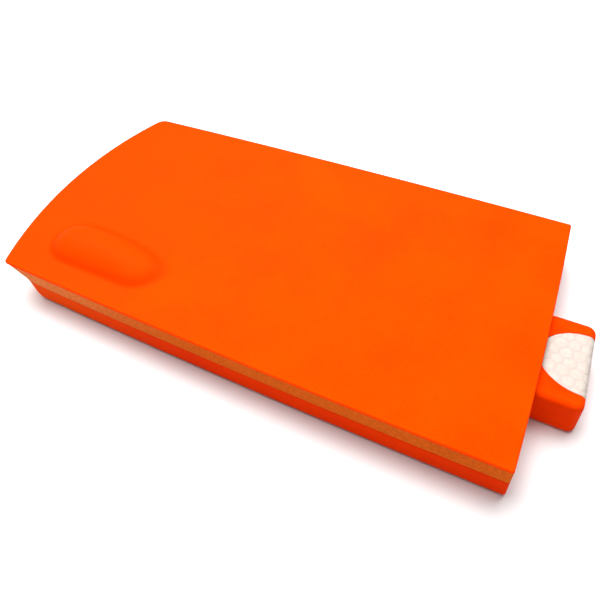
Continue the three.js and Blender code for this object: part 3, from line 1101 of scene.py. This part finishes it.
def make_core(block: Block) -> bpy.types.Object:
    """The fibreboard core, bevelled back under the left end and notched for the nose.

    Args:
        block: Sizes and finishes of the block.

    Returns:
        The core.
    """
    inset = CORE_INSET
    bottom = block.core_bottom
    top = block.skin_bottom
    reach = block.base_setback - 0.25 * MM
    levels = [
        Level(bottom, inset + 0.15 * MM, reach),
        Level(bottom + 0.15 * MM, inset, reach),
        Level(UNDERCUT_FOOT - 0.2 * MM, inset, reach),
        Level(UNDERCUT_FOOT + 0.1 * MM, inset, reach - 0.25 * MM),
    ]
    for step in range(1, 13):
        share = step / 12.0
        z = UNDERCUT_FOOT + share * (top - UNDERCUT_FOOT)
        levels.append(Level(z, inset, reach + share * (0.45 * MM - reach)))
    core = stacked("core", block.plan, block.leaning(levels))
    room_top = block.nose_top + NOSE_HEADROOM
    mouth = block.plan.right + CUTTER_RUN
    way = block.room(block.channel_half, block.channel_start, mouth, 0.0, room_top)
    return worked(core, [(Cut.REMOVE, way)], bevel=0.12 * MM)


def make_base(block: Block) -> bpy.types.Object:
    """The orange base: rounded below, recessed for the sole, open for the nose.

    Args:
        block: Sizes and finishes of the block.

    Returns:
        The base.
    """
    top = block.core_bottom - BOND_GAP
    levels = []
    for height in HEEL_ROUND * (np.linspace(0.0, 1.0, 13) ** 1.5):
        inset = BASE_INSET + pulled_in(height, BASE_EDGE_ROUND)
        setback = block.base_setback + pulled_in(height, HEEL_ROUND - BASE_EDGE_ROUND)
        wear = max(1.0 - height / BASE_EDGE_ROUND, 0.0)
        levels.append(Level(block.base_bottom + float(height), inset, setback, wear))
    chamfer = 0.1 * MM
    levels.append(Level(top - chamfer, BASE_INSET, block.base_setback))
    levels.append(Level(top, BASE_INSET + chamfer, block.base_setback, wear=1.0))
    base = stacked("base", block.plan, block.leaning(levels))
    run = block.plan.right + CUTTER_RUN
    above = top + CUTTER_RUN
    start, half = block.channel_start, block.channel_half
    pocket_half = half + FLANGE_REACH
    recess_levels = [
        Level(-CUTTER_RUN, SOLE_RIM, SOLE_SETBACK),
        Level(SOLE_CEILING, SOLE_RIM, SOLE_SETBACK),
    ]
    recess = stacked("tool", block.plan, recess_levels)
    wall = block.room(half + SOLE_RIM, start - SOLE_RIM, run, -2 * CUTTER_RUN, above)
    recess = worked(recess, [(Cut.REMOVE, wall)])
    tools = [
        (Cut.REMOVE, recess),
        (Cut.REMOVE, block.room(half, start, run, -CUTTER_RUN, above)),
        (Cut.REMOVE, block.room(pocket_half, start, block.channel_stop, LEDGE_TOP, above)),
    ]
    return worked(base, tools, bevel=0.3 * MM)


# ------------------------------------------------------------------ the nose


@dataclass
class Nose:
    """The pull-out nose's plan and heights, from the CAD nodes' boxes."""

    block: Block

    def __post_init__(self) -> None:
        """Works out the corners, the end and the outline from the CAD node."""
        low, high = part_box("nose_slide")
        self.low, self.high = low, high
        self.end = high.x - NOSE_LEAN - HAIR
        self.plan = Plan(
            left=low.x,
            right=self.end,
            front=low.y + FLANGE_REACH,
            back=high.y - FLANGE_REACH,
            bows=(0.0, 0.0, 0.0, 0.0),
            radii=(
                NOSE_BACK_RADIUS,
                NOSE_CORNER_RADIUS,
                NOSE_CORNER_RADIUS,
                NOSE_BACK_RADIUS,
            ),
            long_count=80,
            short_count=50,
        )
        self.middle = (low.y + high.y) / 2.0
        self.foot = low.z + NOSE_FOOT_ROUND


def inlay_plan(nose: Nose, inset: float) -> np.ndarray:
    """Half an ellipse whose straight sides run out past the nose's end.

    Args:
        nose: Sizes of the nose.
        inset: How far the outline lies inside the grip's full one.

    Returns:
        The outline's points in order.
    """
    angles = np.linspace(math.pi / 2.0, math.pi * 1.5, 97)
    centre = nose.end - INLAY_CENTRE
    x = centre + (INLAY_REACH - inset) * np.cos(angles)
    y = nose.middle + (INLAY_HALF_WIDTH - inset) * np.sin(angles)
    run = nose.end + CUTTER_RUN
    ends = np.array([(run, y[-1]), (run, y[0])])
    return np.concatenate([np.stack([x, y], axis=1), ends])


def make_nose(nose: Nose) -> bpy.types.Object:
    """The nose bar with its flanges, its sole's recess and the grip's pocket.

    Args:
        nose: Sizes of the nose.

    Returns:
        The nose bar.
    """
    levels = rounded_levels(
        nose.low.z, nose.high.z, NOSE_FOOT_ROUND, NOSE_EDGE_ROUND, steps=9
    )
    levels = leaning(levels, NOSE_LEAN, nose.high.z, nose.foot)
    bar = stacked("nose", nose.plan, levels)
    flanges = box_object(
        Vector((nose.low.x + HAIR, nose.low.y, FLANGE_BOTTOM)),
        Vector((nose.low.x + FLANGE_LENGTH, nose.high.y, FLANGE_TOP)),
    )
    recess_levels = [Level(-CUTTER_RUN, NOSE_RIM), Level(SOLE_CEILING, NOSE_RIM)]
    recess = stacked("tool", nose.plan, recess_levels)
    draft = MeshDraft()
    ring = inlay_plan(nose, 0.0)
    lower = draft.add(with_height(ring, nose.high.z - POCKET_DEPTH))
    upper = draft.add(with_height(ring, nose.high.z + CUTTER_RUN))
    draft.band(lower, upper)
    draft.lid(lower, flip=True)
    draft.lid(upper)
    pocket = draft.build("tool")
    tools = [(Cut.JOIN, flanges), (Cut.REMOVE, recess), (Cut.REMOVE, pocket)]
    return worked(bar, tools, bevel=0.15 * MM)


def cell_seams(a: np.ndarray, b: np.ndarray, seed: int = 7) -> tuple[np.ndarray, np.ndarray]:
    """A honeycomb of slightly uneven cells.

    The cells' centres lie on a triangular lattice, each moved a little at random. Where
    the nearest and the second nearest centre are equally far away, there is a seam.

    Args:
        a: First coordinate on the surface.
        b: Second coordinate.
        seed: Seed of the random moves.

    Returns:
        How far each point is from its seam, as a share of the pitch, and the distance to
        its own centre as a share of the pitch.
    """
    rng = np.random.default_rng(seed)
    columns = int(np.ptp(a) / CELL_PITCH) + 5
    rows = int(np.ptp(b) / (CELL_PITCH * 0.866)) + 5
    centres = []
    for row in range(rows):
        for column in range(columns):
            x = a.min() + (column - 2 + 0.5 * (row % 2)) * CELL_PITCH
            y = b.min() + (row - 2) * CELL_PITCH * 0.866
            centres.append((x, y) + rng.normal(0.0, 0.07 * CELL_PITCH, 2))
    spots = np.array(centres)
    distance = np.hypot(a[..., None] - spots[:, 0], b[..., None] - spots[:, 1])
    nearest = np.partition(distance, 1, axis=-1)
    first, second = nearest[..., 0], nearest[..., 1]
    return (second - first) / CELL_PITCH, first / CELL_PITCH


def make_inlay(nose: Nose) -> bpy.types.Object:
    """The soft grip: pillowed cells that run over the nose's rounded end.

    Args:
        nose: Sizes of the nose.

    Returns:
        The grip.
    """
    margin = 0.07 * MM
    rows, columns = 110, 150
    t = np.linspace(-1.0, 1.0, rows)[:, None] * np.ones(columns)
    s = np.ones(rows)[:, None] * np.linspace(0.0, 1.0, columns)
    half = INLAY_HALF_WIDTH - margin
    reach = INLAY_REACH - margin
    y = nose.middle + half * t
    edge_x = nose.end - INLAY_CENTRE - reach * np.sqrt(np.clip(1.0 - t * t, 0.0, 1.0))
    turn_x = nose.end - NOSE_EDGE_ROUND
    quarter = NOSE_EDGE_ROUND * math.pi / 2.0
    path_end = turn_x + quarter + INLAY_DROP
    path = edge_x + s * (path_end - edge_x)
    angle = np.clip((path - turn_x) / NOSE_EDGE_ROUND, 0.0, math.pi / 2.0)
    below = np.clip(path - turn_x - quarter, 0.0, None)
    surface_x = np.where(path < turn_x, path, turn_x + NOSE_EDGE_ROUND * np.sin(angle))
    surface_z = nose.high.z - NOSE_EDGE_ROUND * (1.0 - np.cos(angle)) - below
    surface_x += NOSE_LEAN * (nose.high.z - surface_z) / (nose.high.z - nose.foot)
    seam, centre = cell_seams(path, y)
    pillow = np.clip(seam / 0.34, 0.0, 1.0)
    pillow = pillow * pillow * (3.0 - 2.0 * pillow) * (1.0 - 0.35 * centre)
    length = path_end - edge_x
    border = np.minimum.reduce([s * length, (1.0 - s) * length, half * (1.0 - np.abs(t))])
    lip = np.clip(border / INLAY_LIP, 0.0, 1.0)
    lip = np.sqrt(1.0 - (1.0 - lip) ** 2)
    sink = INLAY_LIP_DEPTH * (1.0 - lip) + CELL_HEIGHT * (1.0 - pillow)
    normal_x, normal_z = np.sin(angle), np.cos(angle)
    top = np.stack([surface_x - sink * normal_x, y, surface_z - sink * normal_z], axis=-1)
    under = np.stack(
        [
            surface_x - INLAY_THICKNESS * normal_x,
            y,
            surface_z - INLAY_THICKNESS * normal_z,
        ],
        axis=-1,
    )
    draft = MeshDraft()
    crease = np.clip(1.0 - seam / 0.42, 0.0, 1.0) ** 1.5
    top_ids = draft.add(top.transpose(1, 0, 2), seam=crease.T)
    under_ids = draft.add(under.transpose(1, 0, 2))
    draft.patch(top_ids)
    draft.patch(under_ids, flip=True)
    draft.band(grid_rim(under_ids), grid_rim(top_ids))
    return draft.build("nose_grip")


# ------------------------------------------------------------------ soles


def hook_profile() -> np.ndarray:
    """A hook's centre line from its root to its tip, as x along and z down.

    Returns:
        The points of the centre line.
    """
    stem = [(0.0, 0.0), (0.0, 0.22)]
    bend = [(0.16 - 0.16 * math.cos(a), 0.34 + 0.16 * math.sin(a)) for a in (0.3, 1.1, 1.9, 2.8)]
    return np.array(stem + bend) * MM


def add_hooks(draft: MeshDraft, spots: np.ndarray) -> None:
    """Adds one small nylon hook, pointing down, at each spot in plan.

    Args:
        draft: The mesh that takes the hooks.
        spots: Where they stand in plan, one row per hook.
    """
    line = hook_profile()
    line[:, 1] *= (HOOK_ROOT - HAIR) / line[:, 1].max()
    thick = np.linspace(0.24, 0.12, len(line)) * MM
    direction = np.gradient(line, axis=0)
    direction /= np.linalg.norm(direction, axis=1)[:, None]
    side = np.stack([-direction[:, 1], direction[:, 0]], axis=1) * thick[:, None] / 2.0
    rails = np.stack([line + side, line - side], axis=1)
    tips = np.linspace(0.0, 1.0, len(line))
    for number, (x, y) in enumerate(spots):
        facing = 1.0 if number % 2 else -1.0
        corners = []
        for rail, y_side in ((0, -1), (1, -1), (1, 1), (0, 1)):
            px = x + facing * rails[:, rail, 0]
            py = np.full(len(line), y + facing * y_side * HOOK_WIDTH / 2.0)
            pz = HOOK_ROOT - rails[:, rail, 1]
            corners.append(np.stack([px, py, np.maximum(pz, 0.0)], axis=-1))
        loop = np.stack(corners, axis=0)
        ids = draft.add(loop, tip=np.broadcast_to(tips, loop.shape[:2]))
        draft.patch(np.concatenate([ids, ids[:1]], axis=0), flip=True)
        draft.lid(ids[:, -1], flip=True)


def lattice(low: np.ndarray, high: np.ndarray, pitch: float, seed: int) -> np.ndarray:
    """Staggered rows of spots in a rectangle, each moved a little at random.

    Args:
        low: The rectangle's lowest corner.
        high: Its highest corner.
        pitch: Distance between neighbouring spots.
        seed: Seed of the random moves.

    Returns:
        One row per spot.
    """
    rng = np.random.default_rng(seed)
    spots = []
    rows = int((high[1] - low[1]) / pitch) + 1
    for row in range(rows):
        x = np.arange(low[0] + 0.5 * pitch * (row % 2), high[0], pitch)
        y = np.full(len(x), low[1] + row * pitch)
        spots.append(np.stack([x, y], axis=1))
    return np.concatenate(spots) + rng.normal(0.0, 0.05 * pitch, (sum(map(len, spots)), 2))


def inside_ring(points: np.ndarray, ring: np.ndarray) -> np.ndarray:
    """Which points lie inside a closed ring, by counting the sides to their right.

    Args:
        points: The points to test, one row each.
        ring: The ring's points in order.

    Returns:
        True for each point inside.
    """
    x, y = points[:, 0][:, None], points[:, 1][:, None]
    x0, y0 = ring[:, 0], ring[:, 1]
    x1, y1 = np.roll(x0, -1), np.roll(y0, -1)
    spans = (y0 > y) != (y1 > y)
    slope = (x1 - x0) / np.where(y1 == y0, 1e-12, y1 - y0)
    crossings = spans & (x < x0 + slope * (y - y0))
    return crossings.sum(axis=1) % 2 == 1


def joined(name: str, first: bpy.types.Object, second: bpy.types.Object) -> bpy.types.Object:
    """Puts two meshes in one object.

    Args:
        name: Name of the joined object.
        first: The object that stays.
        second: The object that goes into it.

    Returns:
        The joined object.
    """
    context = {"active_object": first, "selected_editable_objects": [first, second]}
    with bpy.context.temp_override(**context):
        bpy.ops.object.join()
    first.name = name
    return first


def make_block_layer(
    block: Block, name: str, low: float, high: float, edge: float
) -> bpy.types.Object:
    """A U-shaped layer of the block's sole.

    Args:
        block: Sizes of the block.
        name: The layer's name.
        low: Height of its lower face.
        high: Height of its upper face.
        edge: Radius of its rounded edges.

    Returns:
        The layer.
    """
    margin = SOLE_RIM + LAYER_GAP
    levels = rounded_levels(low, high, edge, edge, SOLE_SETBACK, margin, steps=2)
    layer = stacked(name, block.plan, levels)
    half = block.channel_half + margin
    start = block.channel_start - margin
    run = block.plan.right + CUTTER_RUN
    way = block.room(half, start, run, -CUTTER_RUN, high + CUTTER_RUN)
    return worked(layer, [(Cut.REMOVE, way)])


def make_block_facing(block: Block) -> bpy.types.Object:
    """The block's hook facing: a thin ground with a field of hooks.

    Args:
        block: Sizes of the block.

    Returns:
        The facing.
    """
    low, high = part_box("sole_hook_facing")
    ground = make_block_layer(block, "sole_facing", GROUND_BOTTOM, high.z, GROUND_EDGE)
    margin = SOLE_RIM + LAYER_GAP + HOOK_MARGIN
    spots = lattice(np.array(low[:2]), np.array(high[:2]), HOOK_PITCH, seed=11)
    ring = block.plan.ring(margin, SOLE_SETBACK)
    keep = inside_ring(spots, ring)
    beside = np.abs(spots[:, 1] - block.channel_middle) > block.channel_half + margin
    keep &= beside | (spots[:, 0] < block.channel_start - margin)
    draft = MeshDraft()
    add_hooks(draft, spots[keep])
    log.info("block facing has %d hooks", int(keep.sum()))
    return joined("sole_facing", ground, draft.build("hooks"))


def make_nose_facing(nose: Nose) -> bpy.types.Object:
    """The nose's hook facing, made like the block's.

    Args:
        nose: Sizes of the nose.

    Returns:
        The facing.
    """
    low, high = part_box("nose_hook_facing")
    margin = NOSE_RIM + LAYER_GAP
    levels = rounded_levels(
        GROUND_BOTTOM, high.z, GROUND_EDGE, GROUND_EDGE, inset=margin, steps=2
    )
    ground = worked(stacked("nose_facing", nose.plan, levels), [])
    spots = lattice(np.array(low[:2]), np.array(high[:2]), HOOK_PITCH, seed=12)
    keep = inside_ring(spots, nose.plan.ring(margin + HOOK_MARGIN))
    draft = MeshDraft()
    add_hooks(draft, spots[keep])
    return joined("nose_facing", ground, draft.build("hooks"))


def make_nose_cushion(nose: Nose) -> bpy.types.Object:
    """The nose's foam layer.

    Args:
        nose: Sizes of the nose.

    Returns:
        The foam layer.
    """
    low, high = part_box("nose_cushion")
    margin = NOSE_RIM + LAYER_GAP
    levels = rounded_levels(low.z, high.z, FOAM_EDGE, FOAM_EDGE, inset=margin, steps=3)
    return worked(stacked("nose_foam", nose.plan, levels), [])


# ------------------------------------------------------------------ small parts


def make_soft_edged(node: str, name: str, edge: float) -> bpy.types.Object:
    """A block of the node's own size with rounded edges.

    Args:
        node: The CAD node that gives the size.
        name: The piece's name.
        edge: Radius of its rounded edges.

    Returns:
        The piece.
    """
    low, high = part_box(node)
    piece = worked(box_object(low, high), [], bevel=edge, segments=3)
    piece.name = name
    return piece


def make_screw(node: str, name: str) -> bpy.types.Object:
    """A countersunk screw with a rolled thread and a cross recess.

    The shank's radius follows a sharp wave along a helix, which dies away under the head
    and towards the tip.

    Args:
        node: The CAD node that gives place and size.
        name: The screw's name.

    Returns:
        The screw.
    """
    low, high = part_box(node)
    x, y = (low.x + high.x) / 2.0, (low.y + high.y) / 2.0
    head = (high.x - low.x) / 2.0
    shank = SCREW_SHANK_RADIUS
    sides, rings = 40, 110
    z = np.linspace(low.z + SCREW_HEAD_HEIGHT, high.z - 0.1 * MM, rings)[:, None]
    angle = np.linspace(0.0, 2.0 * math.pi, sides, endpoint=False)[None, :]
    phase = (z / SCREW_PITCH - angle / (2.0 * math.pi)) % 1.0
    crest = np.clip(1.0 - np.abs(phase - 0.5) * 4.0, 0.0, 1.0)
    point = np.clip((high.z - z) / SCREW_POINT_LENGTH, 0.0, 1.0)
    radius = point * (shank - SCREW_THREAD_DEPTH * (1.0 - crest))
    draft = MeshDraft()
    rows = []
    lower = [(low.z, head - 0.25 * MM), (low.z + 0.12 * MM, head), (low.z + 0.4 * MM, head)]
    lower += [(low.z + 2.1 * MM, shank - 0.2 * MM), (low.z + 2.5 * MM, shank - 0.3 * MM)]
    for height, size in lower:
        flat = np.stack([x + size * np.cos(angle[0]), y + size * np.sin(angle[0])], axis=1)
        rows.append(draft.add(with_height(flat, height)))
    for step in range(rings):
        flat = np.stack(
            [x + radius[step] * np.cos(angle[0]), y + radius[step] * np.sin(angle[0])], axis=1
        )
        rows.append(draft.add(with_height(flat, float(z[step, 0]))))
    for below, above in zip(rows, rows[1:]):
        draft.band(below, above)
    draft.lid(rows[0], flip=True)
    draft.lid(rows[-1])
    screw = draft.build(name)
    arm, slot = CROSS_REACH, CROSS_HALF_WIDTH
    top = low.z + CROSS_DEPTH
    bars = [
        box_object(Vector((x - arm, y - slot, -MM)), Vector((x + arm, y + slot, top))),
        box_object(Vector((x - slot, y - arm, -MM)), Vector((x + slot, y + arm, top))),
    ]
    return worked(screw, [(Cut.REMOVE, bar) for bar in bars])


# ------------------------------------------------------------------ the scene


@dataclass(frozen=True)
class Softbox:
    """A rectangular studio light."""

    name: str
    place: Place
    aim: Place
    width: float
    height: float
    power: float  # in watts


LIGHTS = (
    Softbox("top_softbox", (-0.3, 0.34, 1.12), (0.0, 0.0, 0.0), 1.2, 1.0, 36.0),
    Softbox("front_fill", (-0.1, -1.3, 0.5), (0.0, 0.0, 0.02), 1.0, 0.7, 2.8),
    Softbox("right_fill", (1.3, -0.2, 0.4), (0.1, 0.0, 0.02), 0.9, 0.7, 1.6),
)
WORLD_LEVEL = 0.09
CAMERA_TURN = (-60.16, 51.88, -4.66)  # azimuth, elevation and roll, in degrees
CAMERA_AIM = (117.5, 46.0, 0.6)  # from the deck's front left corner, in millimetres
CAMERA_DISTANCE = 214.95 * MM
FOCAL_LENGTH = 29.65  # in millimetres, for a sensor of SENSOR_WIDTH
SENSOR_WIDTH = 36.0


def add_light(box: Softbox) -> None:
    """Adds one softbox, turned to its aim.

    Args:
        box: The softbox's place, aim, size and power.
    """
    data = bpy.data.lights.new(box.name, "AREA")
    data.shape = "RECTANGLE"
    data.size = box.width
    data.size_y = box.height
    data.energy = box.power
    lamp = bpy.data.objects.new(box.name, data)
    lamp.location = Vector(box.place)
    away = Vector(box.place) - Vector(box.aim)
    lamp.rotation_mode = "QUATERNION"
    lamp.rotation_quaternion = away.to_track_quat("Z", "Y")
    bpy.context.scene.collection.objects.link(lamp)


def add_camera(corner: Vector) -> None:
    """The camera: above the front side, looking down on the deck, with a slight roll.

    Args:
        corner: The deck's front left corner in plan, at floor level.
    """
    azimuth, elevation, roll = (math.radians(turn) for turn in CAMERA_TURN)
    target = corner + Vector(CAMERA_AIM) * MM
    away = Vector(
        (
            math.cos(elevation) * math.cos(azimuth),
            math.cos(elevation) * math.sin(azimuth),
            math.sin(elevation),
        )
    )
    level = (-away).cross(Vector((0.0, 0.0, 1.0))).normalized()
    upward = level.cross(-away)
    right = math.cos(roll) * level + math.sin(roll) * upward
    up = -math.sin(roll) * level + math.cos(roll) * upward
    turn = Matrix((right, up, away)).transposed()
    data = bpy.data.cameras.new("camera")
    data.lens = FOCAL_LENGTH
    data.sensor_width = SENSOR_WIDTH
    data.clip_start = 0.01
    camera = bpy.data.objects.new("camera", data)
    camera.matrix_world = Matrix.Translation(target + away * CAMERA_DISTANCE) @ turn.to_4x4()
    bpy.context.scene.collection.objects.link(camera)
    bpy.context.scene.camera = camera


def add_stage() -> None:
    """A pale floor, softboxes and an even sky."""
    draft = MeshDraft()
    line = np.linspace(-3.0, 3.0, 7)
    x, y = np.meshgrid(line, line, indexing="ij")
    draft.patch(draft.add(np.stack([x, y, np.zeros_like(x)], axis=-1)))
    floor = draft.build("floor")
    floor.data.materials.append(floor_material())
    for box in LIGHTS:
        add_light(box)
    world = bpy.data.worlds.new("studio")
    world.use_nodes = True
    sky = world.node_tree.nodes["Background"]
    sky.inputs["Color"].default_value = (1.0, 1.0, 1.0, 1.0)
    sky.inputs["Strength"].default_value = WORLD_LEVEL
    bpy.context.scene.world = world
    bpy.context.scene.view_settings.view_transform = "Standard"


class Body(Enum):
    """The CAD bodies that pieces ride on."""

    BLOCK = "block"
    NOSE = "nose"


def place(
    piece: bpy.types.Object,
    material: bpy.types.Material,
    body: Body,
    node: str,
    slot: str,
) -> bpy.types.Object:
    """Gives a piece its material and its body, and hides the CAD node that it stands for.

    Args:
        piece: The finished piece.
        material: Its material.
        body: The body that it rides on.
        node: The CAD node that it stands for.
        slot: Not used.

    Returns:
        The same piece.
    """
    piece.data.materials.clear()
    piece.data.materials.append(material)
    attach(piece, body.value)
    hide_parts(node)
    return piece


def build_block(block: Block) -> None:
    """Makes everything that stays with the block.

    Args:
        block: Sizes and finishes of the block.
    """
    foam, hooks = foam_material(), hook_material()
    place(make_deck(block), block.skin, Body.BLOCK, "deck_skin", "deck_skin")
    place(make_core(block), fibreboard_material(), Body.BLOCK, "core_board", "fibreboard")
    place(make_base(block), block.moulding, Body.BLOCK, "base_body", "base_moulding")
    low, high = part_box("sole_cushion")
    cushion = make_block_layer(block, "sole_foam", low.z, high.z, FOAM_EDGE)
    place(cushion, foam, Body.BLOCK, "sole_cushion", "foam")
    facing = make_block_facing(block)
    place(facing, hooks, Body.BLOCK, "sole_hook_facing", "hook_fabric")
    nose = Nose(block)
    bar = moulded_material(NOSE_FINISH)
    place(make_nose(nose), bar, Body.NOSE, "nose_slide", "base_moulding")
    place(make_inlay(nose), grip_material(), Body.NOSE, "nose_grip_inlay", "soft_grip")
    nose_foam = place(make_nose_cushion(nose), foam, Body.NOSE, "nose_cushion", "foam")
    nose_facing = make_nose_facing(nose)
    place(nose_facing, hooks, Body.NOSE, "nose_hook_facing", "hook_fabric")


def build_small_parts() -> None:
    """Makes the guides, the pads, the bumper and the screws."""
    nylon = moulded_material(NYLON_FINISH)
    rubber = moulded_material(RUBBER_FINISH)
    felt, zinc = felt_material(), zinc_material()
    for side in ("front", "back"):
        strip = make_soft_edged(f"glide_strip_{side}", f"glide_{side}", 0.12 * MM)
        place(strip, nylon, Body.BLOCK, f"glide_strip_{side}", "nylon")
        pad = make_soft_edged(f"friction_pad_{side}", f"felt_{side}", 0.25 * MM)
        place(pad, felt, Body.BLOCK, f"friction_pad_{side}", "felt")
    bumper = make_soft_edged("stop_bumper", "bumper", 0.5 * MM)
    place(bumper, rubber, Body.BLOCK, "stop_bumper", "rubber")
    for number in range(1, 7):
        screw = make_screw(f"body_screw_{number}", f"screw_{number}")
        place(screw, zinc, Body.BLOCK, f"body_screw_{number}", "screw_steel")


def main() -> None:
    """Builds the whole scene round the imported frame."""
    logging.basicConfig(level=logging.INFO, format="%(name)s: %(message)s")
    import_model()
    block = Block(moulded_material(BODY_FINISH), moulded_material(DECK_FINISH))
    add_camera(Vector((block.plan.left, block.plan.front, 0.0)))
    add_stage()
    build_block(block)
    build_small_parts()


if __name__ == "__main__":
    main()
